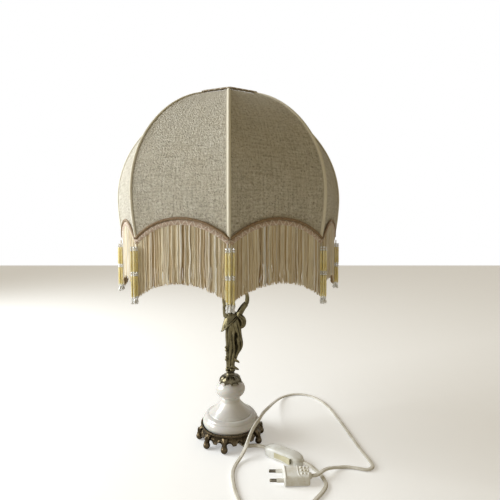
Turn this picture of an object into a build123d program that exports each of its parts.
from build123d import *
import os
from math import asin, atan2, cos, degrees, pi, radians, sin, sqrt, tan

os.makedirs("parts", exist_ok=True)

# A brass and marble table lamp: a footed casting, a turned marble body, a draped brass figure,
# a lampholder with its bulb, and a domed shade of eight cloth panels with a fringe and bead tassels.
# Millimetres, +Z up, the front along -Y. The origin is on the floor, under the lamp's axis.

# --- clearances
fit_gap = 0.3  # between pieces that seat on or beside each other
bore_gap = 0.1  # radial, round a rod, a lead or a screw in its hole
pivot_gap = 0.05  # radial, round the rocker's pivot

# --- base casting
foot_places = 10
front_foot_angle = -98.0  # about Z, of the foot nearest the front
empty_foot_place = 1  # counted on from the front foot: no foot where the lead comes out
foot_circle_radius = 49.0
foot_ball_radius = 5.2
foot_flat_depth = 0.6
foot_leg_radius = 3.1
casting_rim_top = 24.2
casting_rim_radius = 46.6
casting_rim_width = 2.8
casting_cove_radius = 44.6
casting_cove_height = 17.6
casting_hem_radius = 48.4
casting_hem_height = 9.6
casting_wall = 2.6
web_bottom = 19.5
web_top = 22.0
hem_arch_radius = 4.4
hem_arch_angle = 9.2  # between a foot or a lobe and the arches beside it

# --- rod, washer, nut, gasket
rod_radius = 5.0
rod_bore_radius = 3.6
rod_bottom = 13.0
rod_above_crown = 4.0
washer_radius = 10.0
washer_thickness = 1.5
nut_across_flats = 17.0
nut_height = 4.4
gasket_thickness = 1.0
gasket_radius, gasket_hole_radius = 41.0, 11.0

# --- marble body
marble_foot_radius = 42.5
marble_belly_radius = 43.5
marble_belly_height = 29.0
low_groove_radius, low_groove_height = 40.1, 35.0
high_groove_radius, high_groove_height = 32.8, 40.0
groove_width = 1.2
marble_flare_radius, marble_flare_height = 24.3, 48.0
marble_neck_radius, marble_neck_height = 15.4, 58.0
ball_radius, ball_half_height, ball_height = 23.2, 15.9, 77.4
ball_groove_drop = 12.9  # of the groove under the ball below its middle
ball_groove_height = ball_height - ball_groove_drop
ball_seat_rise = 13.1  # of the flat that carries the crown above the ball's middle
marble_top = ball_height + ball_seat_rise

# --- leaf crown, socle: each rise is above the piece below
crown_tip_drop, crown_tip_thickness = 1.7, 0.5  # the tips hang below the marble's top
crown_bulge_radius, crown_bulge_rise = 15.6, 2.5
crown_top_radius, crown_rise = 8.7, 7.5
crown_leaves = 10
crown_notch_height = 3.0
crown_foot_step = 0.8  # the socle's foot is this much narrower than the crown's top
socle_waist_radius, socle_waist_rise = 6.2, 5.0
socle_top_radius, socle_height = 7.2, 9.0
crown_top = marble_top + crown_rise
socle_top = crown_top + socle_height
rod_top = crown_top + rod_above_crown

# --- figure: rise above the socle, centre x, centre y, half width, half depth of each level
figure_height = 129.5  # up to the torch cup
figure_levels = (
    (0.0, 0.6, 0.0, 5.4, 5.0),
    (9.0, 0.6, 0.2, 6.4, 5.8),
    (20.0, 0.4, 0.6, 9.2, 7.6),
    (39.0, 5.6, 1.2, 12.6, 10.0),
    (51.0, 4.6, 0.8, 11.4, 9.2),
    (61.0, 4.0, 0.2, 10.2, 8.2),
    (75.0, 4.4, 0.2, 12.4, 8.6),
    (84.0, 3.6, 0.4, 11.0, 7.2),
    (91.0, 2.0, 0.4, 5.2, 5.0),
)
mantle_levels = (
    (66.0, 3.6, 0.4, 15.8, 10.2),
    (75.0, 4.6, 0.4, 17.4, 10.4),
    (83.0, 4.0, 0.6, 13.6, 9.0),
    (90.0, 2.4, 0.6, 7.0, 6.6),
)
mantle_hem_slope = 34.0  # degrees: the hem rises to the figure's left
mantle_hem_shift, mantle_hem_drop = 12.0, 0.5  # of the hem's line from the lowest level's centre
mantle_trim_length, mantle_trim_depth = 80.0, 20.0
neck_foot, head_centre = (2.0, 0.4, 87.0), (1.0, 0.4, 100.5)
head_radius = 9.0
neck_radius = 4.2
shoulder_left, elbow_left = (14.0, 0.6, 83.0), (25.5, 0.2, 111.0)
shoulder_right, elbow_right = (-6.5, 0.6, 84.0), (-12.0, 0.2, 107.0)
hand_left, hand_right = (10.5, 0.0), (-7.5, 0.0)
hand_drop = 0.5  # of the hands' middles below the cup
upper_arm_radius, elbow_radius, hand_radius = 4.2, 3.3, 2.6
lead_channel_radius = 2.6

# --- torch cup, nipple, inner lead
cup_foot_radius = 6.4
cup_waist_radius, cup_waist_rise = 5.9, 3.0
cup_rim_radius, cup_height = 18.6, 13.5
cup_side_hollow, cup_side_lift = 3.0, 0.6
cup_wall = 1.6
cup_floor_depth, cup_floor_slope = 3.6, 4.0
cup_bottom = socle_top + figure_height
cup_top = cup_bottom + cup_height
nipple_below_cup, nipple_above_cup = 19.5, 6.0
nipple_end_room = 6.0
nipple_bottom, nipple_top = cup_bottom - nipple_below_cup, cup_top + nipple_above_cup
lead_radius = 2.0
lead_bend_radius = 6.4
lead_floor_height = 6.5  # of the lead's axis under the web
lead_heading = -65.0

# --- lampholder: each rise is above the cap's top
holder_bottom = cup_top + fit_gap
holder_cap_radius, holder_cap_height = 19.5, 11.7
holder_cap_top = holder_bottom + holder_cap_height
holder_cap_shoulder, holder_cap_bulge = 4.6, 2.2
holder_seat_width = 4.0
holder_wall = 1.8
holder_flange_radius, holder_flange_rise, holder_flange_thickness = 24.0, 8.0, 2.3
holder_shell_length = 42.0
holder_top = holder_cap_top + holder_shell_length
insert_floor_rise, insert_rim_drop = 11.0, 2.0
insert_floor_top = holder_cap_top + insert_floor_rise
lead_below_floor = 8.0
sleeve_wall, sleeve_rim_drop = 0.6, 4.0
contact_radius = 3.6

# --- bulb
bulb_cap_radius, bulb_cap_height = 13.1, 26.5
bulb_seat_rise = 4.0  # of the cap's tip above the insert's floor
bulb_cap_bottom = insert_floor_top + bulb_seat_rise
bulb_tip_step, bulb_tip_rise, bulb_tip_height = 1.6, 3.4, 5.0
bulb_neck_radius, bulb_radius = 13.6, 30.0
bulb_neck_height = 16.0
bulb_length = 82.0  # of the glass above its cap

# --- shade frame and cloth
shade_sides = 8
front_rib_angle = -87.0
shade_top = 523.0
dome_top_radius = 52.0  # of the ribs' corner
dome_start_slope = 18.0
crown_arc_radius, crown_arc = 180.0, 37.0
shoulder_arc_radius, shoulder_arc = 143.0, 38.0
belly_arc_radius, belly_arc = 335.0, 9.3
cloth_thickness = 1.0
rib_radius = 1.5
rib_short = 2.0  # of the hem
ring_wire_radius = 2.0
ring_drop = 1.0
scallop_rise = 24.0
scallop_cut_inset, scallop_cut_reach = 20.0, 50.0  # of the cuts that shape the hem
scallop_wire_radius = 1.3
scallop_wire_lift = 5.0
fitter_plate_thickness = 2.0
fitter_plate_radius = 28.5
fitter_arms = 4
fitter_arm_radius = 1.9
fitter_arm_reach = 42.0  # where the arms start to climb
fitter_arm_lift = 3.0  # of the arms' ends above the ribs' feet
fitter_arm_bend, fitter_arm_root = 12.0, 0.2
shade_nut_radius, shade_nut_height = 27.0, 8.0
tape_width, tape_thickness = 5.0, 1.1
top_braid_width, top_braid_height = 4.0, 2.2
braid_width, braid_thickness = 9.4, 2.2
braid_below_edge = 2.0

# --- fringe and tassels
fringe_thickness = 2.4
fringe_inset = 1.4  # behind the panels' outer face
fringe_length_middle = 72.0
fringe_end_drop = 21.0  # the strands' ends beside a tassel hang this much lower
tassel_radius = 5.2
tassel_proud = 4.5  # of the hem's corner
tassel_lengths = (7.0, 25.0, 7.0, 27.0, 12.0)  # crystal, bugle, crystal, bugle, drops

# --- cord, switch, plug
flex_width = 5.4
switch_length, switch_width, switch_height = 59.6, 20.0, 15.0
switch_centre_x, switch_centre_y, switch_heading = 79.5, -63.0, -34.8
switch_wall = 2.0
switch_end_wall = 8.0
rocker_length, rocker_height, rocker_depth = 26.4, 8.0, 7.4
rocker_offset = 3.0
rocker_window_gap = 1.0
rocker_proud = 1.4
rocker_swing = 12.0
rocker_pivot_radius = 1.5
rocker_stub = 0.9
switch_screw_radius, switch_screw_head = 1.4, 2.6
switch_screw_spread = 48.0
switch_corner, switch_seat_depth, switch_screw_inset, switch_screw_head_height = 9.0, 2.0, 0.4, 1.5
contact_spread, contact_offset, contact_length, contact_width, contact_height = 28.0, 5.2, 9.0, 4.0, 6.0
plug_length, plug_width, plug_height = 33.5, 25.0, 14.0
plug_left, plug_centre_y = 75.0, -109.5
plug_flange, plug_flange_lip = 2.4, 0.5
plug_collar_length, plug_collar_radius = 3.0, 4.2
pin_spacing, pin_radius, pin_length = 19.0, 2.0, 19.0
pin_in_body = 9.0
sleeve_radius, sleeve_length = 2.6, 10.0
grip_dot_radius, grip_dot_pitch, grip_dot_rows = 1.2, 3.7, 3


def on_figure(place):
    # A point whose height is given above the socle.
    return (place[0], place[1], socle_top + place[2])


def cone_between(start, end, start_radius, end_radius):
    # A tapered limb with a round end at its far side.
    reach = Vector(*end) - Vector(*start)
    level = Plane(origin=start, z_dir=reach)
    with BuildPart() as limb:
        with BuildSketch(level):
            Circle(start_radius)
        with BuildSketch(level.offset(reach.length)):
            Circle(end_radius)
        loft()
        with Locations(end):
            Sphere(end_radius)
    return limb.part


def stacked_ellipses(levels):
    with BuildPart() as stack:
        for rise, x, y, half_width, half_depth in levels:
            with BuildSketch(Plane((x, y, socle_top + rise))):
                Ellipse(half_width, half_depth)
        loft()
    return stack.part


def hand_made_route(points):
    # Straight runs joined by arcs as large as the runs allow.
    places = [Vector(*point) for point in points]
    runs = [after - before for before, after in zip(places, places[1:])]
    arc_radii = []
    for before, after in zip(runs, runs[1:]):
        half_turn = radians(before.get_angle(after)) / 2
        arc_radii.append(0.45 * min(before.length, after.length) / tan(half_turn))
    with BuildLine() as route:
        FilletPolyline(*points, radius=arc_radii)
    return route.wire(), arc_radii


def cord_tube(points, label):
    route, arc_radii = hand_made_route(points)
    with BuildPart() as tube:
        with BuildSketch(Plane(origin=route @ 0, z_dir=route % 0)):
            Circle(flex_width / 2)
        sweep(path=route)
    expected = pi * flex_width**2 / 4 * route.length
    print(label, "length", round(route.length, 1), "volume share", round(tube.part.volume / expected, 4))
    print(label, "radii", [round(radius, 1) for radius in arc_radii])
    return tube.part


# --- base casting: a web with a raised rim, a coved skirt with an arched hem, nine ball feet
foot_pitch = 360 / foot_places
all_foot_angles = [front_foot_angle + foot_pitch * place for place in range(foot_places)]
foot_angles = [angle for place, angle in enumerate(all_foot_angles) if place != empty_foot_place]
foot_ball_height = foot_ball_radius - foot_flat_depth
rod_hole_radius = rod_radius + bore_gap
grip_length, grip_width = 12.0, 13.0
grip_distance = 16.4  # from the axis to the grip's middle
grip_top = web_bottom
grip_bottom = 2.6
lead_plane = Plane.XY.rotated((0, 0, lead_heading))
screw_radius, screw_head_radius, screw_head_height = 1.5, 2.6, 1.8
grip_screw_offset = 4.4

with BuildPart() as foot:
    with BuildLine(Plane.XZ) as foot_spine:
        ThreePointArc(
            (casting_cove_radius - casting_wall / 2, casting_cove_height),
            (foot_circle_radius - 1.6, (casting_cove_height + foot_ball_height) / 2),
            (foot_circle_radius, foot_ball_height),
        )
    with BuildSketch(Plane(origin=foot_spine.line @ 0, z_dir=foot_spine.line % 0)):
        Circle(foot_leg_radius)
    sweep()
    with Locations((foot_circle_radius, 0, foot_ball_height)):
        Sphere(foot_ball_radius)
    split(bisect_by=Plane.XY, keep=Keep.TOP)

with BuildPart() as hem_arch:
    with BuildSketch(Plane.YZ.offset(casting_cove_radius - 2 * casting_wall)):
        with Locations((0, casting_hem_height)):
            Circle(hem_arch_radius)
    extrude(amount=3 * casting_wall + hem_arch_radius)

with BuildPart() as base_casting:
    with BuildSketch(Plane.XZ):
        with BuildLine():
            rim_inner_radius = casting_rim_radius - casting_rim_width
            cove_top = (casting_rim_radius - 0.8, web_bottom + 1.0)
            cove_deep = (casting_cove_radius, casting_cove_height)
            hem_outer = (casting_hem_radius, casting_hem_height)
            Polyline((0, web_top), (rim_inner_radius, web_top), (rim_inner_radius, casting_rim_top - 1.0))
            ThreePointArc(
                (rim_inner_radius, casting_rim_top - 1.0),
                (casting_rim_radius - casting_rim_width / 2, casting_rim_top),
                (casting_rim_radius, casting_rim_top - 1.0),
            )
            Polyline((casting_rim_radius, casting_rim_top - 1.0), (casting_rim_radius, web_top), cove_top)
            ThreePointArc(cove_top, cove_deep, (casting_hem_radius, casting_hem_height + 3.0))
            Polyline(
                (casting_hem_radius, casting_hem_height + 3.0),
                hem_outer,
                (casting_hem_radius - casting_wall, casting_hem_height),
                (casting_cove_radius - casting_wall, casting_cove_height - 1.0),
                (casting_cove_radius - casting_wall, web_bottom),
                (0, web_bottom),
                (0, web_top),
            )
        make_face()
    revolve(axis=Axis.Z)
    for angle in all_foot_angles:
        with Locations(
            Rotation(0, 0, angle + hem_arch_angle), Rotation(0, 0, angle - hem_arch_angle)
        ):
            add(hem_arch.part, mode=Mode.SUBTRACT)
    for angle in foot_angles:
        with Locations(Rotation(0, 0, angle)):
            add(foot.part)
    with BuildSketch(Plane.XY.offset(web_bottom)):
        Circle(rod_hole_radius)
    extrude(amount=web_top - web_bottom, mode=Mode.SUBTRACT)
    with BuildSketch(lead_plane.offset(web_bottom)):
        with Locations((grip_distance, grip_screw_offset), (grip_distance, -grip_screw_offset)):
            Circle(screw_radius + bore_gap)
    extrude(amount=web_top - web_bottom, mode=Mode.SUBTRACT)
base_casting.part.label = "base_casting"

with BuildPart() as rod_washer:
    with BuildSketch(Plane.XY.offset(web_bottom - washer_thickness)):
        Circle(washer_radius)
        Circle(rod_hole_radius, mode=Mode.SUBTRACT)
    extrude(amount=washer_thickness)
rod_washer.part.label = "rod_washer"

nut_top = web_bottom - washer_thickness
with BuildPart() as rod_nut:
    with BuildSketch(Plane.XY.offset(nut_top - nut_height)):
        RegularPolygon(nut_across_flats / 2, 6, major_radius=False)
        Circle(rod_hole_radius, mode=Mode.SUBTRACT)
    extrude(amount=nut_height)
rod_nut.part.label = "rod_nut"

with BuildPart() as centre_rod:
    with BuildSketch(Plane.XY.offset(rod_bottom)):
        Circle(rod_radius)
        Circle(rod_bore_radius, mode=Mode.SUBTRACT)
    extrude(amount=rod_top - rod_bottom)
centre_rod.part.label = "centre_rod"

# --- cord grip: a block under the web that holds the flex, with its two screws
with BuildPart() as cord_grip:
    with BuildSketch(lead_plane.offset(grip_bottom)):
        with Locations((grip_distance, 0)):
            RectangleRounded(grip_length, grip_width, 1.5)
    extrude(amount=grip_top - grip_bottom)
    with BuildSketch(Plane(origin=(0, 0, 0), x_dir=lead_plane.y_dir, z_dir=lead_plane.x_dir)):
        with Locations((0, lead_floor_height)):
            Circle(lead_radius + bore_gap)
    extrude(amount=grip_distance + grip_length, mode=Mode.SUBTRACT)
    with BuildSketch(lead_plane.offset(grip_bottom)):
        with Locations((grip_distance, grip_screw_offset), (grip_distance, -grip_screw_offset)):
            Circle(screw_radius + bore_gap)
    extrude(amount=grip_top - grip_bottom, mode=Mode.SUBTRACT)
cord_grip.part.label = "cord_grip"

with BuildPart() as grip_screws:
    screw_places = [(grip_distance, grip_screw_offset), (grip_distance, -grip_screw_offset)]
    with BuildSketch(lead_plane.offset(grip_bottom)):
        with Locations(*screw_places):
            Circle(screw_radius)
    extrude(amount=web_top - grip_bottom)
    with BuildSketch(lead_plane.offset(grip_bottom - screw_head_height)):
        with Locations(*screw_places):
            Circle(screw_head_radius)
    extrude(amount=screw_head_height)
grip_screws.part.label = "grip_screws"

# --- gasket and turned marble body
marble_bottom = web_top + gasket_thickness


def ball_radius_at(height):
    return ball_radius * sqrt(1 - ((height - ball_height) / ball_half_height) ** 2)


with BuildPart() as base_gasket:
    with BuildSketch(Plane.XY.offset(web_top)):
        Circle(gasket_radius)
        Circle(gasket_hole_radius, mode=Mode.SUBTRACT)
    extrude(amount=gasket_thickness)
base_gasket.part.label = "base_gasket"

with BuildPart() as marble_body:
    with BuildSketch(Plane.XZ):
        with BuildLine():
            low_side = (low_groove_radius + 0.9, low_groove_height - groove_width / 2)
            low_over = (low_groove_radius + 0.2, low_groove_height + groove_width / 2)
            high_side = (high_groove_radius + 0.9, high_groove_height - groove_width / 2)
            high_over = (high_groove_radius + 0.2, high_groove_height + groove_width / 2)
            neck = (marble_neck_radius, marble_neck_height)
            ball_foot = (ball_radius_at(ball_groove_height), ball_groove_height)
            ball_seat = (ball_radius_at(marble_top), marble_top)
            Polyline((0, marble_bottom), (marble_foot_radius, marble_bottom))
            ThreePointArc(
                (marble_foot_radius, marble_bottom), (marble_belly_radius, marble_belly_height), low_side
            )
            Polyline(low_side, (low_groove_radius, low_groove_height), low_over)
            ThreePointArc(
                low_over,
                ((low_over[0] + high_side[0]) / 2 + 0.9, (low_over[1] + high_side[1]) / 2 + 0.9),
                high_side,
            )
            Polyline(high_side, (high_groove_radius, high_groove_height), high_over)
            ThreePointArc(high_over, (marble_flare_radius, marble_flare_height), neck)
            Polyline(neck, (marble_neck_radius - 0.9, ball_groove_height - 0.8), ball_foot)
            start_angle = degrees(asin((ball_groove_height - ball_height) / ball_half_height))
            end_angle = degrees(asin((marble_top - ball_height) / ball_half_height))
            ball_arc = end_angle - start_angle
            EllipticalCenterArc((0, ball_height), ball_radius, ball_half_height, start_angle, arc_size=ball_arc)
            Polyline(ball_seat, (0, marble_top), (0, marble_bottom))
        make_face()
    revolve(axis=Axis.Z)
    with BuildSketch(Plane.XY.offset(marble_bottom)):
        Circle(rod_hole_radius)
    extrude(amount=marble_top - marble_bottom, mode=Mode.SUBTRACT)
marble_body.part.label = "marble_body"

# --- leaf crown on the ball, with a pointed hem
crown_seat = marble_top + fit_gap
crown_tip_height = marble_top - crown_tip_drop
crown_tip_radius = ball_radius_at(crown_tip_height) + fit_gap + crown_tip_thickness
half_leaf = crown_tip_radius * sin(radians(180 / crown_leaves))
with BuildPart() as leaf_notch:
    with BuildSketch(Plane.YZ):
        with Locations((0, crown_tip_height)):
            Polygon(
                (-half_leaf * 0.9, -0.5), (half_leaf * 0.9, -0.5), (0, crown_notch_height), align=None
            )
    extrude(amount=2 * crown_tip_radius)

with BuildPart() as crown_collar:
    with BuildSketch(Plane.XZ):
        with BuildLine():
            tip_inner = (crown_tip_radius - crown_tip_thickness, crown_tip_height)
            Polyline((0, crown_seat), (ball_radius_at(marble_top) + fit_gap, crown_seat), tip_inner)
            Line(tip_inner, (crown_tip_radius, crown_tip_height))
            ThreePointArc(
                (crown_tip_radius, crown_tip_height),
                (crown_bulge_radius, marble_top + crown_bulge_rise),
                (crown_top_radius, crown_top),
            )
            Polyline((crown_top_radius, crown_top), (0, crown_top), (0, crown_seat))
        make_face()
    revolve(axis=Axis.Z)
    with BuildSketch(Plane.XY.offset(crown_seat)):
        Circle(rod_hole_radius)
    extrude(amount=crown_top - crown_seat, mode=Mode.SUBTRACT)
    for leaf in range(crown_leaves):
        with Locations(Rotation(0, 0, front_foot_angle + (leaf + 0.5) * 360 / crown_leaves)):
            add(leaf_notch.part, mode=Mode.SUBTRACT)
crown_collar.part.label = "crown_collar"

with BuildPart() as figure_socle:
    with BuildSketch(Plane.XZ):
        with BuildLine():
            Line((0, crown_top), (crown_top_radius - crown_foot_step, crown_top))
            ThreePointArc(
                (crown_top_radius - crown_foot_step, crown_top),
                (socle_waist_radius, crown_top + socle_waist_rise),
                (socle_top_radius, socle_top),
            )
            Polyline((socle_top_radius, socle_top), (0, socle_top), (0, crown_top))
        make_face()
    revolve(axis=Axis.Z)
    with BuildSketch(Plane.XY.offset(crown_top)):
        Circle(rod_hole_radius)
    extrude(amount=rod_top + fit_gap - crown_top, mode=Mode.SUBTRACT)
    with BuildSketch(Plane.XY.offset(crown_top)):
        Circle(lead_channel_radius)
    extrude(amount=socle_top - crown_top, mode=Mode.SUBTRACT)
figure_socle.part.label = "figure_socle"

# --- the draped figure, cast in one piece, with a channel for the lead
with BuildPart() as mantle:
    add(stacked_ellipses(mantle_levels))
    hem_start = (mantle_levels[0][1] - mantle_hem_shift, socle_top + mantle_levels[0][0] - mantle_hem_drop)
    with BuildSketch(Plane.XZ.offset(-2 * head_radius)):
        with Locations(Location(hem_start, mantle_hem_slope)):
            Rectangle(mantle_trim_length, mantle_trim_depth, align=(Align.CENTER, Align.MAX))
    extrude(amount=4 * head_radius, mode=Mode.SUBTRACT)

with BuildPart() as figure:
    add(stacked_ellipses(figure_levels))
    add(mantle.part)
    with Locations(on_figure(head_centre)):
        Sphere(head_radius)
    add(cone_between(on_figure(neck_foot), on_figure(head_centre), neck_radius, neck_radius))
    for shoulder, elbow, hand in (
        (shoulder_left, elbow_left, hand_left),
        (shoulder_right, elbow_right, hand_right),
    ):
        wrist = (hand[0], hand[1], cup_bottom - hand_drop)
        add(cone_between(on_figure(shoulder), on_figure(elbow), upper_arm_radius, elbow_radius))
        add(cone_between(on_figure(elbow), wrist, elbow_radius, hand_radius))
    with BuildSketch(Plane.XY.offset(cup_bottom - fit_gap)):
        Circle(2 * cup_rim_radius)
    extrude(amount=cup_height, mode=Mode.SUBTRACT)
    with BuildSketch(Plane.XY.offset(socle_top)):
        Circle(lead_channel_radius)
    extrude(amount=cup_bottom - socle_top, mode=Mode.SUBTRACT)
    with BuildSketch(Plane.XY.offset(nipple_bottom - nipple_end_room)):
        Circle(rod_hole_radius)
    extrude(amount=cup_bottom - nipple_bottom + nipple_end_room, mode=Mode.SUBTRACT)
figure.part.label = "figure"

# --- torch cup over the hands, on a threaded nipple that stands in the head
with BuildPart() as torch_cup:
    with BuildSketch(Plane.XZ):
        with BuildLine():
            waist = (cup_waist_radius, cup_bottom + cup_waist_rise)
            side_height = (waist[1] + cup_top) / 2 + cup_side_lift
            floor_edge = cup_rim_radius - cup_wall - cup_floor_slope
            Polyline((0, cup_bottom), (cup_foot_radius, cup_bottom), waist)
            ThreePointArc(waist, (cup_rim_radius - cup_side_hollow, side_height), (cup_rim_radius, cup_top))
            Polyline(
                (cup_rim_radius, cup_top),
                (cup_rim_radius - cup_wall, cup_top),
                (floor_edge, cup_top - cup_floor_depth),
                (0, cup_top - cup_floor_depth),
                (0, cup_bottom),
            )
        make_face()
    revolve(axis=Axis.Z)
    with BuildSketch(Plane.XY.offset(cup_bottom)):
        Circle(rod_hole_radius)
    extrude(amount=cup_top - cup_bottom, mode=Mode.SUBTRACT)
torch_cup.part.label = "torch_cup"

with BuildPart() as cup_nipple:
    with BuildSketch(Plane.XY.offset(nipple_bottom)):
        Circle(rod_radius)
        Circle(rod_bore_radius, mode=Mode.SUBTRACT)
    extrude(amount=nipple_top - nipple_bottom)
cup_nipple.part.label = "cup_nipple"

lead_front = grip_distance + grip_length / 2
lead_top = insert_floor_top - lead_below_floor
with BuildPart() as inner_lead:
    with BuildLine(lead_plane * Plane.XZ) as lead_path:
        FilletPolyline(
            (0, lead_top), (0, lead_floor_height), (lead_front, lead_floor_height), radius=lead_bend_radius
        )
    with BuildSketch(Plane(origin=lead_path.line @ 0, z_dir=lead_path.line % 0)):
        Circle(lead_radius)
    sweep()
inner_lead.part.label = "inner_lead"

# --- lampholder: cap, shell with a flange and a thread for the shade nut, insert, sleeve, contact
with BuildPart() as holder_cap:
    with BuildSketch(Plane.XZ):
        with BuildLine():
            seat_edge = rod_radius + holder_seat_width
            floor_height = holder_bottom + 2 * holder_wall
            bulge = (holder_cap_radius - holder_cap_bulge, holder_bottom + holder_cap_shoulder)
            Line((0, holder_bottom), (seat_edge, holder_bottom))
            ThreePointArc((seat_edge, holder_bottom), bulge, (holder_cap_radius, holder_cap_top))
            Polyline(
                (holder_cap_radius, holder_cap_top),
                (holder_cap_radius - holder_wall, holder_cap_top),
                (bulge[0] - holder_wall, bulge[1] + 2 * holder_wall / 3),
                (seat_edge, floor_height),
                (0, floor_height),
                (0, holder_bottom),
            )
        make_face()
    revolve(axis=Axis.Z)
    with BuildSketch(Plane.XY.offset(holder_bottom)):
        Circle(rod_hole_radius)
    extrude(amount=2 * holder_wall, mode=Mode.SUBTRACT)
holder_cap.part.label = "holder_cap"

holder_inner_radius = holder_cap_radius - holder_wall
with BuildPart() as holder_shell:
    with BuildSketch(Plane.XY.offset(holder_cap_top)):
        Circle(holder_cap_radius)
        Circle(holder_inner_radius, mode=Mode.SUBTRACT)
    extrude(amount=holder_top - holder_cap_top)
    with BuildSketch(Plane.XY.offset(holder_cap_top + holder_flange_rise)):
        Circle(holder_flange_radius)
        Circle(holder_inner_radius, mode=Mode.SUBTRACT)
    extrude(amount=holder_flange_thickness)
holder_shell.part.label = "holder_shell"

sleeve_inner_radius = bulb_cap_radius + fit_gap
sleeve_outer_radius = sleeve_inner_radius + sleeve_wall
with BuildPart() as holder_insert:
    with BuildSketch(Plane.XY.offset(holder_cap_top)):
        Circle(holder_inner_radius - bore_gap)
    extrude(amount=holder_shell_length - insert_rim_drop)
    with BuildSketch(Plane.XY.offset(insert_floor_top)):
        Circle(sleeve_outer_radius + bore_gap)
    extrude(amount=holder_top - insert_floor_top, mode=Mode.SUBTRACT)
    with BuildSketch(Plane.XY.offset(holder_cap_top)):
        Circle(lead_radius + bore_gap)
    extrude(amount=lead_top + fit_gap - holder_cap_top, mode=Mode.SUBTRACT)
holder_insert.part.label = "holder_insert"

with BuildPart() as holder_sleeve:
    with BuildSketch(Plane.XY.offset(insert_floor_top)):
        Circle(sleeve_outer_radius)
        Circle(sleeve_inner_radius, mode=Mode.SUBTRACT)
    extrude(amount=holder_top - sleeve_rim_drop - insert_floor_top)
holder_sleeve.part.label = "holder_sleeve"

with BuildPart() as centre_contact:
    with BuildSketch(Plane.XY.offset(insert_floor_top)):
        Circle(contact_radius)
    extrude(amount=bulb_cap_bottom - fit_gap - insert_floor_top)
centre_contact.part.label = "centre_contact"

# --- bulb
bulb_cap_top = bulb_cap_bottom + bulb_cap_height
with BuildPart() as bulb_cap:
    with BuildSketch(Plane.XZ):
        with BuildLine():
            Polyline(
                (0, bulb_cap_bottom),
                (contact_radius, bulb_cap_bottom),
                (bulb_cap_radius - bulb_tip_step, bulb_cap_bottom + bulb_tip_rise),
                (bulb_cap_radius, bulb_cap_bottom + bulb_tip_height),
                (bulb_cap_radius, bulb_cap_top),
                (0, bulb_cap_top),
                (0, bulb_cap_bottom),
            )
        make_face()
    revolve(axis=Axis.Z)
bulb_cap.part.label = "bulb_cap"

bulb_top = bulb_cap_top + bulb_length
bulb_middle = bulb_top - bulb_radius
with BuildPart() as bulb_glass:
    with BuildSketch(Plane.XZ):
        with BuildLine():
            flare_angle = radians(-42)
            flare_end = (bulb_radius * cos(flare_angle), bulb_middle + bulb_radius * sin(flare_angle))
            neck_end = (bulb_neck_radius, bulb_cap_top + bulb_neck_height)
            Polyline((0, bulb_cap_top), (bulb_neck_radius, bulb_cap_top), neck_end, flare_end)
            ThreePointArc(flare_end, (bulb_radius, bulb_middle), (0, bulb_top))
            Line((0, bulb_top), (0, bulb_cap_top))
        make_face()
    revolve(axis=Axis.Z)
bulb_glass.part.label = "bulb_glass"

# --- the dome: one rib line of three tangent arcs, from the top ring down to a point of the hem
side_angle = 360 / shade_sides
half_side = radians(side_angle / 2)
rib_angles = [front_rib_angle + side_angle * side for side in range(shade_sides)]


def rib_plane(angle):
    outward = (cos(radians(angle)), sin(radians(angle)), 0)
    across = (sin(radians(angle)), -cos(radians(angle)), 0)
    return Plane(origin=(0, 0, 0), x_dir=outward, z_dir=across)


def dome_line(inset, short_of_hem=0.0):
    # The rib line moved in by inset, as (radius, height), stopping short of the hem by an angle.
    slope = radians(-dome_start_slope)
    start = (dome_top_radius + inset * sin(slope), shade_top - inset * cos(slope))
    with BuildLine() as line:
        crown = JernArc(start, (cos(slope), sin(slope)), crown_arc_radius - inset, -crown_arc)
        shoulder = JernArc(crown @ 1, crown % 1, shoulder_arc_radius - inset, -shoulder_arc)
        JernArc(shoulder @ 1, shoulder % 1, belly_arc_radius - inset, short_of_hem - belly_arc)
    return line.wire()


def dome_radius_at(height):
    # Of the ribs' corner, on the belly arc.
    hem = dome_line(0) @ 1
    end_slope = radians(dome_start_slope + crown_arc + shoulder_arc + belly_arc)
    centre_x = hem.X - belly_arc_radius * sin(end_slope)
    centre_z = hem.Y - belly_arc_radius * cos(end_slope)
    return centre_x + sqrt(belly_arc_radius**2 - (height - centre_z) ** 2)


hem_corner = dome_line(0) @ 1
hem_radius, hem_height = hem_corner.X, hem_corner.Y
hem_half_chord = hem_radius * sin(half_side)
hem_middle_radius = hem_radius * cos(half_side)
apex_middle_radius = dome_radius_at(hem_height + scallop_rise) * cos(half_side)
hem_lean = atan2(apex_middle_radius - hem_middle_radius, scallop_rise)
scallop_circle = (hem_half_chord**2 + scallop_rise**2) / (2 * scallop_rise)
print("hem corner radius", round(hem_radius, 1), "height", round(hem_height, 1))


def scallop_height(x):
    return sqrt(scallop_circle**2 - x**2) - (scallop_circle - scallop_rise)


def upright_plane(middle_angle, distance, height):
    # Across a panel: x along the panel, y up, z outwards.
    middle = radians(middle_angle)
    return Plane(
        origin=(distance * cos(middle), distance * sin(middle), height),
        x_dir=(-sin(middle), cos(middle), 0),
        z_dir=(cos(middle), sin(middle), 0),
    )


def hem_plane(middle_angle, outward=0.0):
    # The plane of a panel's lower edge, which leans out as it climbs to the scallop's top.
    middle = radians(middle_angle)
    normal = Vector(cos(middle) * cos(hem_lean), sin(middle) * cos(hem_lean), -sin(hem_lean))
    origin = Vector(hem_middle_radius * cos(middle), hem_middle_radius * sin(middle), hem_height)
    return Plane(origin=origin + normal * outward, x_dir=(-sin(middle), cos(middle), 0), z_dir=normal)


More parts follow.
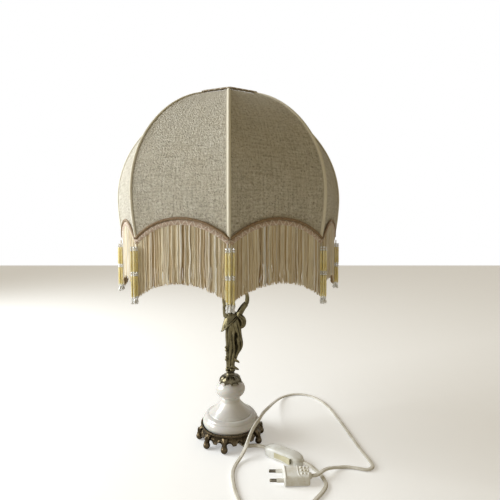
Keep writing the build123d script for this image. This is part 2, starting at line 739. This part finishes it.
def scallop_band(reach, low, high):
    # Between two copies of the scallop's arc, as a face in the panel's own plane.
    with BuildSketch() as band:
        with BuildLine():
            drop = scallop_height(reach)
            ThreePointArc((-reach, drop + low), (0, scallop_rise + low), (reach, drop + low))
            Line((reach, drop + low), (reach, drop + high))
            ThreePointArc((reach, drop + high), (0, scallop_rise + high), (-reach, drop + high))
            Line((-reach, drop + high), (-reach, drop + low))
        make_face()
    return band.sketch


def sector(angle, spread, low, high):
    # A wedge about the lamp's axis, for trimming at the ribs.
    reach = 2 * hem_radius
    with BuildPart() as wedge:
        with BuildSketch(Plane.XY.offset(low)):
            ends = [
                (reach * cos(radians(angle + side * spread)), reach * sin(radians(angle + side * spread)))
                for side in (-1, 1)
            ]
            Polygon((0, 0), ends[0], ends[1], align=None)
        extrude(amount=high - low)
    return wedge.part


# --- eight cloth panels, flat across and curved down, with a scalloped lower edge
panel_middles = [angle + side_angle / 2 for angle in rib_angles]
panels = []
for number, middle in enumerate(panel_middles, start=1):
    with BuildPart() as shade_panel:
        for side in (-1, 1):
            with BuildSketch(rib_plane(middle + side * side_angle / 2)):
                with BuildLine():
                    outer, inner = dome_line(0), dome_line(cloth_thickness)
                    add(outer.edges())
                    add(inner.edges())
                    Line(outer @ 0, inner @ 0)
                    Line(outer @ 1, inner @ 1)
                make_face()
        loft(ruled=True)
        with BuildSketch(upright_plane(middle, hem_middle_radius - scallop_cut_inset, hem_height)):
            add(scallop_band(hem_half_chord, -2 * scallop_rise, 0))
        extrude(amount=scallop_cut_reach, mode=Mode.SUBTRACT)
    shade_panel.part.label = f"shade_panel_{number}"
    panels.append(shade_panel.part)

# --- wire frame: ribs, top ring, scalloped hem wire, fitter with its arms
rib_inset = cloth_thickness + rib_radius + fit_gap
rib_line = dome_line(rib_inset, degrees(rib_short / belly_arc_radius))
with BuildPart() as shade_ribs:
    for angle in rib_angles:
        rib_path = rib_plane(angle) * rib_line
        with BuildSketch(Plane(origin=rib_path @ 0, z_dir=rib_path % 0)):
            Circle(rib_radius)
        sweep(path=rib_path)
shade_ribs.part.label = "shade_ribs"

rib_head = rib_line @ 0
top_ring_radius = rib_head.X - rib_radius - ring_wire_radius - bore_gap
with BuildPart() as top_ring:
    with BuildSketch(Plane.XZ):
        with Locations((top_ring_radius, rib_head.Y - ring_drop)):
            Circle(ring_wire_radius)
    revolve(axis=Axis.Z)
top_ring.part.label = "top_ring"

wire_inset = cloth_thickness + scallop_wire_radius + 2 * fit_gap
wire_reach = hem_half_chord - rib_radius - 2 * scallop_wire_radius
with BuildPart() as scallop_wire:
    for middle in panel_middles:
        with BuildLine(hem_plane(middle, -wire_inset)) as wire_path:
            end_height = scallop_height(wire_reach) + scallop_wire_lift
            top_height = scallop_rise + scallop_wire_lift
            ThreePointArc((-wire_reach, end_height), (0, top_height), (wire_reach, end_height))
        with BuildSketch(Plane(origin=wire_path.line @ 0, z_dir=wire_path.line % 0)):
            Circle(scallop_wire_radius)
        sweep(path=wire_path.wire())
scallop_wire.part.label = "scallop_wire"

fitter_hole_radius = holder_cap_radius + 2 * fit_gap
fitter_bottom = holder_cap_top + holder_flange_rise + holder_flange_thickness + fit_gap
arm_height = fitter_bottom + fitter_arm_radius
arm_seat = rib_line @ (1 - fitter_arm_lift / rib_line.length)
arm_slope = atan2(arm_seat.Y - arm_height, arm_seat.X - fitter_arm_reach)
arm_end_radius = arm_seat.X - rib_radius - fit_gap - fitter_arm_radius * sin(arm_slope)
with BuildPart() as shade_fitter:
    with BuildSketch(Plane.XY.offset(fitter_bottom)):
        Circle(fitter_plate_radius)
        Circle(fitter_hole_radius, mode=Mode.SUBTRACT)
    extrude(amount=fitter_plate_thickness)
    for arm in range(fitter_arms):
        arm_angle = rib_angles[0] + side_angle + arm * 360 / fitter_arms
        with BuildLine(rib_plane(arm_angle)) as arm_path:
            FilletPolyline(
                (fitter_plate_radius - fitter_arm_root, arm_height),
                (fitter_arm_reach, arm_height),
                (arm_end_radius, arm_seat.Y),
                radius=fitter_arm_bend,
            )
        with BuildSketch(Plane(origin=arm_path.line @ 0, z_dir=arm_path.line % 0)):
            Circle(fitter_arm_radius)
        sweep(path=arm_path.wire())
shade_fitter.part.label = "shade_fitter"

with BuildPart() as shade_nut:
    nut_bottom = fitter_bottom + fitter_plate_thickness + fit_gap
    with BuildSketch(Plane.XY.offset(nut_bottom)):
        Circle(shade_nut_radius)
        Circle(holder_cap_radius + fit_gap, mode=Mode.SUBTRACT)
    extrude(amount=shade_nut_height)
    chamfer(shade_nut.edges().group_by(Axis.Z)[-1], length=1.2)
shade_nut.part.label = "shade_nut"

# --- trims: top braid, rib tapes, scalloped braid
with BuildPart() as top_braid:
    with BuildSketch(Plane.XY.offset(shade_top + fit_gap)):
        RegularPolygon(dome_top_radius - bore_gap, shade_sides, rotation=front_rib_angle)
        RegularPolygon(
            dome_top_radius - top_braid_width, shade_sides, rotation=front_rib_angle, mode=Mode.SUBTRACT
        )
    extrude(amount=top_braid_height)
top_braid.part.label = "top_braid"

tape_stop = degrees((braid_width + fit_gap) / belly_arc_radius)
tape_line = dome_line(-bore_gap - tape_thickness / 2, tape_stop)
with BuildPart() as rib_tapes:
    for angle in rib_angles:
        tape_path = rib_plane(angle) * tape_line
        across = rib_plane(angle).z_dir
        with BuildSketch(Plane(origin=tape_path @ 0, x_dir=across, z_dir=tape_path % 0)):
            RectangleRounded(tape_width, tape_thickness, tape_thickness * 0.45)
        sweep(path=tape_path)
rib_tapes.part.label = "rib_tapes"

braid_offset = 2 * fit_gap
braid_depth = braid_offset + braid_thickness
braid_reach = hem_half_chord + braid_thickness
braids = []
for middle in panel_middles:
    with BuildPart() as braid_side:
        with BuildSketch(hem_plane(middle, braid_offset)):
            add(scallop_band(braid_reach, -braid_below_edge, braid_width - braid_below_edge))
        extrude(amount=braid_thickness)
        add(
            sector(middle, side_angle / 2, hem_height - 2 * braid_width, shade_top),
            mode=Mode.INTERSECT,
        )
    braids.append(braid_side.part)
with BuildPart() as scallop_braid:
    add(braids)
scallop_braid.part.label = "scallop_braid"

# --- fringe: eight curtains that hang straight down from the scalloped edge
fringe_face = hem_middle_radius - fringe_inset
fringe_bulge = apex_middle_radius - hem_middle_radius
fringe_floor = hem_height + scallop_rise - fringe_length_middle - fringe_end_drop
curtain_spread = side_angle / 2 - degrees(fit_gap / hem_radius)
curtains = []
for middle in panel_middles:
    with BuildPart() as curtain:
        with BuildSketch(Plane.XY.offset(fringe_floor - fringe_thickness).rotated((0, 0, middle))):
            with BuildLine():
                for ends in (fringe_face, fringe_face - fringe_thickness):
                    ThreePointArc(
                        (ends, -hem_half_chord), (ends + fringe_bulge, 0), (ends, hem_half_chord)
                    )
                for side in (-1, 1):
                    Line(
                        (fringe_face - fringe_thickness, side * hem_half_chord),
                        (fringe_face, side * hem_half_chord),
                    )
            make_face()
        extrude(amount=fringe_length_middle + 2 * scallop_rise + fringe_end_drop)
        with BuildSketch(upright_plane(middle, hem_middle_radius - scallop_cut_inset, hem_height)):
            with BuildLine():
                reach = hem_half_chord
                top_ends = (-fit_gap, scallop_rise - fit_gap)
                bottom_middle = scallop_rise - fringe_length_middle
                bottom_ends = bottom_middle - fringe_end_drop
                ThreePointArc((-reach, top_ends[0]), (0, top_ends[1]), (reach, top_ends[0]))
                Line((reach, top_ends[0]), (reach, bottom_ends))
                ThreePointArc((reach, bottom_ends), (0, bottom_middle), (-reach, bottom_ends))
                Line((-reach, bottom_ends), (-reach, top_ends[0]))
            make_face()
        extrude(amount=scallop_cut_reach, mode=Mode.INTERSECT)
        add(
            sector(middle, curtain_spread, fringe_floor - fringe_thickness, shade_top),
            mode=Mode.INTERSECT,
        )
    curtains.append(curtain.part)
with BuildPart() as fringe:
    add(curtains)
fringe.part.label = "fringe"

# --- bead tassels: one at each point of the hem, between two curtains
braid_corner = (hem_middle_radius + braid_depth) * tan(half_side)
braid_corner_drop = (scallop_height(braid_corner) - braid_below_edge) * cos(hem_lean)
tassel_top = hem_height + braid_corner_drop - braid_depth * sin(hem_lean) - 2 * fit_gap
tassel_circle = hem_radius + tassel_proud
crystal, bugle, middle_row, lower_bugle, drops = tassel_lengths
bugle_top = -crystal
bugle_end = bugle_top - bugle
lower_bugle_top = bugle_end - middle_row
lower_bugle_end = lower_bugle_top - lower_bugle
tassel_end = lower_bugle_end - drops
tassels = []
for number, angle in enumerate(rib_angles, start=1):
    outward = rib_plane(angle).x_dir
    hanging_point = Vector(outward.X * tassel_circle, outward.Y * tassel_circle, tassel_top)
    with BuildPart() as bead_tassel:
        with BuildSketch(Plane(origin=hanging_point, x_dir=outward, z_dir=rib_plane(angle).z_dir)):
            with BuildLine():
                Polyline(
                    (0, 0),
                    (tassel_radius * 0.5, 0),
                    (tassel_radius * 0.95, bugle_top / 2),
                    (tassel_radius * 0.8, bugle_top),
                    (tassel_radius * 0.8, bugle_end),
                    (tassel_radius, (bugle_end + lower_bugle_top) / 2),
                    (tassel_radius * 0.8, lower_bugle_top),
                    (tassel_radius * 0.6, lower_bugle_end),
                    (tassel_radius * 0.85, (lower_bugle_end + tassel_end) / 2),
                    (tassel_radius * 0.3, tassel_end),
                    (0, tassel_end),
                    (0, 0),
                )
            make_face()
        revolve(axis=Axis(hanging_point, (0, 0, 1)))
    bead_tassel.part.label = f"bead_tassel_{number}"
    tassels.append(bead_tassel.part)

# --- flex: from the grip to the switch, and from the switch round the lamp to the plug
grip_exit = lead_plane.from_local_coords((lead_front, 0, lead_floor_height))
lamp_route = [
    (grip_exit.X, grip_exit.Y, grip_exit.Z),
    (12.85, -27.56, 6.5),
    (24.5, -35.3, 3.0),
    (42.4, -37.2, 7.5),
    (55.03, -45.99, 7.5),
]
plug_route = [
    (103.97, -80.01, 7.5),
    (112.18, -85.72, 7.5),
    (121.2, -93.5, 3.6),
    (127.2, -105.0, 2.7),
    (129.6, -119.0, 2.7),
    (122.5, -132.0, 2.7),
    (110.5, -146.0, 2.7),
    (97.0, -163.0, 2.7),
    (77.0, -177.0, 2.7),
    (53.0, -181.0, 2.7),
    (32.0, -172.0, 2.7),
    (20.0, -155.0, 2.7),
    (12.5, -132.0, 2.7),
    (8.3, -110.0, 2.7),
    (7.2, -92.0, 2.7),
    (11.5, -76.0, 2.8),
    (19.0, -63.0, 5.5),
    (25.5, -55.0, 14.0),
    (31.0, -46.0, 26.0),
    (36.5, -37.0, 33.5),
    (43.0, -26.0, 36.5),
    (48.0, -12.0, 37.0),
    (51.5, 4.0, 34.5),
    (57.0, 28.0, 28.0),
    (63.5, 55.0, 20.0),
    (72.0, 85.0, 12.5),
    (84.0, 119.0, 5.5),
    (98.0, 140.0, 2.7),
    (115.0, 149.5, 2.7),
    (133.0, 150.0, 2.7),
    (150.0, 142.0, 2.7),
    (165.0, 126.0, 2.7),
    (176.0, 98.0, 2.7),
    (184.5, 48.0, 2.7),
    (190.6, 0.0, 2.7),
    (195.0, -40.0, 2.7),
    (199.6, -62.5, 2.7),
    (202.2, -82.0, 2.7),
    (191.3, -90.2, 2.7),
    (178.0, -85.6, 2.7),
    (165.0, -82.6, 2.7),
    (153.0, -84.0, 2.9),
    (142.5, -89.5, 6.2),
    (132.0, -97.5, 9.9),
    (124.0, -105.3, 9.6),
    (117.5, -109.5, 7.0),
    (111.5, -109.5, 7.0),
]
with BuildPart() as flex_lamp:
    add(cord_tube(lamp_route, "flex_lamp"))
flex_lamp.part.label = "flex_lamp"

with BuildPart() as flex_plug:
    add(cord_tube(plug_route, "flex_plug"))
flex_plug.part.label = "flex_plug"

# --- switch on the flex: two halves of a case, a rocker on the near side, contacts and screws
switch_plane = Plane(
    origin=(switch_centre_x, switch_centre_y, 0),
    x_dir=(cos(radians(switch_heading)), sin(radians(switch_heading)), 0),
    z_dir=(0, 0, 1),
)
parting = switch_height / 2
case_inner_length = switch_length - 2 * switch_end_wall
case_inner_width = switch_width - 2 * switch_wall
window_length = rocker_length + 2 * rocker_window_gap
rocker_bottom = parting - rocker_height / 2
rocker_top = parting + rocker_height / 2
window_bottom, window_top = rocker_bottom - fit_gap, rocker_top + fit_gap
cavity_bottom, cavity_top = switch_wall, switch_height - switch_wall
pivot_y = -switch_width / 2 + rocker_depth - 2.4
screw_spots = [(-switch_screw_spread / 2, 0), (switch_screw_spread / 2, 0)]


def case_half(bottom, top, cavity_low, cavity_high, window_low, window_high, hole_low, hole_high):
    # One half of the switch's case, with its share of the cavity, of the window and of the pivot hole.
    with BuildPart() as half:
        with BuildSketch(switch_plane.offset(bottom)):
            RectangleRounded(switch_length, switch_width, switch_corner)
        extrude(amount=top - bottom)
        with BuildSketch(switch_plane.offset(cavity_low)):
            Rectangle(case_inner_length, case_inner_width)
        extrude(amount=cavity_high - cavity_low, mode=Mode.SUBTRACT)
        with BuildSketch(switch_plane.offset(window_low)):
            with Locations((rocker_offset, -switch_width / 2)):
                Rectangle(window_length, 3 * switch_wall)
        extrude(amount=window_high - window_low, mode=Mode.SUBTRACT)
        with BuildSketch(switch_plane.offset(hole_low)):
            with Locations((rocker_offset, pivot_y)):
                Circle(rocker_pivot_radius + pivot_gap)
        extrude(amount=hole_high - hole_low, mode=Mode.SUBTRACT)
    return half.part


with BuildPart() as switch_base:
    add(
        case_half(
            0, parting, cavity_bottom, parting, window_bottom, parting,
            cavity_bottom - rocker_stub - fit_gap, cavity_bottom,
        )
    )
    chamfer(switch_base.edges().group_by(Axis.Z)[0].filter_by(GeomType.LINE), length=0.8)
    with BuildSketch(switch_plane):
        with Locations(*screw_spots):
            Circle(switch_screw_head + bore_gap)
    extrude(amount=switch_seat_depth, mode=Mode.SUBTRACT)
    with BuildSketch(switch_plane):
        with Locations(*screw_spots):
            Circle(switch_screw_radius + bore_gap)
    extrude(amount=parting, mode=Mode.SUBTRACT)
switch_base.part.label = "switch_base"

with BuildPart() as switch_cover:
    add(
        case_half(
            parting, switch_height, parting, cavity_top, parting, window_top,
            cavity_top, cavity_top + rocker_stub + fit_gap,
        )
    )
    fillet(switch_cover.edges().group_by(Axis.Z)[-1], radius=switch_wall * 0.9)
    with BuildSketch(switch_plane.offset(parting)):
        with Locations(*screw_spots):
            Circle(switch_screw_radius + bore_gap)
    extrude(amount=parting - switch_wall - switch_screw_inset, mode=Mode.SUBTRACT)
switch_cover.part.label = "switch_cover"

with BuildPart() as switch_screws:
    with BuildSketch(switch_plane.offset(switch_screw_inset)):
        with Locations(*screw_spots):
            Circle(switch_screw_head)
    extrude(amount=switch_screw_head_height)
    with BuildSketch(switch_plane.offset(switch_screw_inset)):
        with Locations(*screw_spots):
            Circle(switch_screw_radius)
    extrude(amount=switch_height - switch_wall - 2.5 * switch_screw_inset - fit_gap)
switch_screws.part.label = "switch_screws"

pivot_place = switch_plane.from_local_coords((rocker_offset, pivot_y, 0))
rocker_plane = Plane(origin=pivot_place, x_dir=switch_plane.x_dir, z_dir=(0, 0, 1)).rotated(
    (0, 0, -rocker_swing / 2)
)
front_y = -switch_width / 2 - rocker_proud - pivot_y
back_y = front_y + rocker_depth
with BuildPart() as switch_rocker:
    with BuildSketch(rocker_plane.offset(rocker_bottom)):
        with BuildLine():
            half_length = rocker_length / 2
            ThreePointArc((-half_length, front_y), (0, front_y + 1.2), (half_length, front_y))
            Polyline(
                (half_length, front_y), (half_length - 1.0, back_y), (1.0 - half_length, back_y),
                (-half_length, front_y),
            )
        make_face()
    extrude(amount=rocker_height)
    with BuildSketch(rocker_plane.offset(cavity_bottom - rocker_stub)):
        Circle(rocker_pivot_radius)
    extrude(amount=cavity_top - cavity_bottom + 2 * rocker_stub)
switch_rocker.part.label = "switch_rocker"

with BuildPart() as switch_contacts:
    with BuildSketch(switch_plane.offset(cavity_bottom)):
        with Locations((-contact_spread / 2, contact_offset), (contact_spread / 2, contact_offset)):
            Rectangle(contact_length, contact_width)
    extrude(amount=contact_height)
switch_contacts.part.label = "switch_contacts"

# --- plug: body with a flange, a collar and grip dots, two sleeved pins
plug_middle_x = plug_left + plug_length / 2
plug_axis_height = plug_height / 2
pin_rows = [plug_centre_y - pin_spacing / 2, plug_centre_y + pin_spacing / 2]
with BuildPart() as plug_body:
    with BuildSketch(Plane.XY.offset(plug_flange_lip)):
        with Locations((plug_middle_x, plug_centre_y)):
            RectangleRounded(plug_length, plug_width, 3.0)
    extrude(amount=plug_height - 2 * plug_flange_lip)
    fillet(plug_body.edges().group_by(Axis.Z)[-1], radius=1.8)
    with BuildSketch(Plane.YZ.offset(plug_left)):
        with Locations((plug_centre_y, plug_axis_height)):
            RectangleRounded(plug_width + 2 * plug_flange_lip, plug_height, 2.5)
    extrude(amount=plug_flange)
    with BuildSketch(Plane.YZ.offset(plug_left + plug_length - 0.5)):
        with Locations((plug_centre_y, plug_axis_height)):
            Circle(plug_collar_radius)
    extrude(amount=plug_collar_length + 0.5, taper=8)
    dots_middle = (plug_left + plug_length * 0.8, plug_centre_y + plug_width * 0.14)
    with Locations(Plane(origin=(dots_middle[0], dots_middle[1], plug_height - plug_flange_lip))):
        with GridLocations(grip_dot_pitch, grip_dot_pitch, grip_dot_rows, grip_dot_rows):
            Cylinder(grip_dot_radius, 0.7, align=(Align.CENTER, Align.CENTER, Align.MIN))
    for row in pin_rows:
        with BuildSketch(Plane.YZ.offset(plug_left)):
            with Locations((row, plug_axis_height)):
                Circle(pin_radius + bore_gap)
        extrude(amount=pin_in_body + fit_gap, mode=Mode.SUBTRACT)
plug_body.part.label = "plug_body"

with BuildPart() as plug_pins:
    with BuildSketch(Plane.YZ.offset(plug_left - pin_length)):
        with Locations(*[(row, plug_axis_height) for row in pin_rows]):
            Circle(pin_radius)
    extrude(amount=pin_length + pin_in_body)
    chamfer(plug_pins.edges().group_by(Axis.X)[0], length=0.8)
plug_pins.part.label = "plug_pins"

with BuildPart() as plug_sleeves:
    with BuildSketch(Plane.YZ.offset(plug_left - sleeve_length)):
        for row in pin_rows:
            with Locations((row, plug_axis_height)):
                Circle(sleeve_radius)
                Circle(pin_radius + bore_gap, mode=Mode.SUBTRACT)
    extrude(amount=sleeve_length)
plug_sleeves.part.label = "plug_sleeves"

pieces = [
    base_casting.part, rod_washer.part, rod_nut.part, centre_rod.part, cord_grip.part, grip_screws.part,
    base_gasket.part, marble_body.part, crown_collar.part, figure_socle.part, figure.part,
    torch_cup.part, cup_nipple.part, inner_lead.part, holder_cap.part, holder_shell.part,
    holder_insert.part, holder_sleeve.part, centre_contact.part, bulb_cap.part, bulb_glass.part,
    shade_nut.part, shade_fitter.part, top_ring.part, shade_ribs.part, scallop_wire.part,
    top_braid.part, rib_tapes.part, scallop_braid.part, fringe.part, flex_lamp.part, flex_plug.part,
    switch_base.part, switch_cover.part, switch_rocker.part, switch_contacts.part,
    switch_screws.part, plug_body.part, plug_pins.part, plug_sleeves.part,
]
pieces += panels + tassels
for piece in pieces:
    export_step(piece, f"parts/{piece.label}.step")
print(len(pieces), "pieces")
